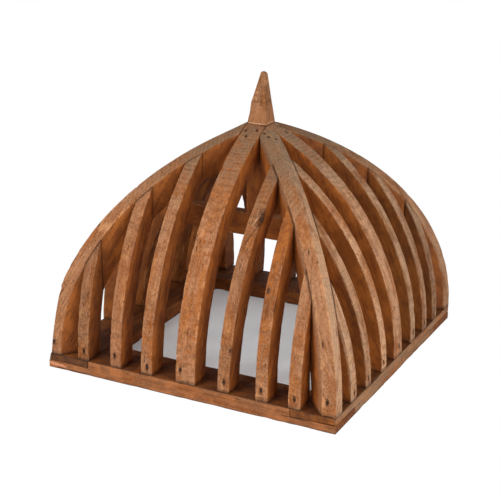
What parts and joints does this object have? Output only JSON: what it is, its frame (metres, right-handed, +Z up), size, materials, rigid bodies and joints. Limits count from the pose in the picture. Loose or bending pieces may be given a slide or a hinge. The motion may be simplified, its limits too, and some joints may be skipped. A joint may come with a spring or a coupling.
{
  "type": "model timber rib frame of a pavilion dome",
  "caption": "Small wooden model of a square pavilion dome's rib frame: hip, common and jack ribs on half-lapped plates, meeting at a king post with a whittled spire.",
  "frame": {"origin": "centre of the plate frame's underside, on the surface that it rests on", "axes": "+Z up through the king post, front plate and front ribs towards -Y, +X along the front plate to the right"},
  "size_m": [0.5, 0.5, 0.4608],
  "materials": {
    "plate_wood": "old bare hardwood, rubbed and greyed, with worn arrises",
    "hip_wood": "old bare hardwood, dark red-brown cheeks and greyed backs",
    "rib_wood": "old bare hardwood with saw marks, weathered on the outer faces",
    "tie_wood": "old bare hardwood, darker inside the frame",
    "spire_wood": "whittled hardwood, orange-brown with upright grain"
  },
  "bodies": {
    "root": {"front_plate": "plate_wood", "back_plate": "plate_wood", "left_plate": "plate_wood", "right_plate": "plate_wood", "front_left_hip_rib": "hip_wood", "front_right_hip_rib": "hip_wood", "back_right_hip_rib": "hip_wood", "back_left_hip_rib": "hip_wood", "front_common_rib": "rib_wood", "right_common_rib": "rib_wood", "back_common_rib": "rib_wood", "left_common_rib": "rib_wood", "front_jack_rib_1": "rib_wood", "front_jack_rib_2": "rib_wood", "front_jack_rib_3": "rib_wood", "front_jack_rib_4": "rib_wood", "front_jack_rib_5": "rib_wood", "front_jack_rib_6": "rib_wood", "right_jack_rib_1": "rib_wood", "right_jack_rib_2": "rib_wood", "right_jack_rib_3": "rib_wood", "right_jack_rib_4": "rib_wood", "right_jack_rib_5": "rib_wood", "right_jack_rib_6": "rib_wood", "back_jack_rib_1": "rib_wood", "back_jack_rib_2": "rib_wood", "back_jack_rib_3": "rib_wood", "back_jack_rib_4": "rib_wood", "back_jack_rib_5": "rib_wood", "back_jack_rib_6": "rib_wood", "left_jack_rib_1": "rib_wood", "left_jack_rib_2": "rib_wood", "left_jack_rib_3": "rib_wood", "left_jack_rib_4": "rib_wood", "left_jack_rib_6": "rib_wood", "tie_beam": "tie_wood", "king_post": "spire_wood"}
  },
  "joints": []
}
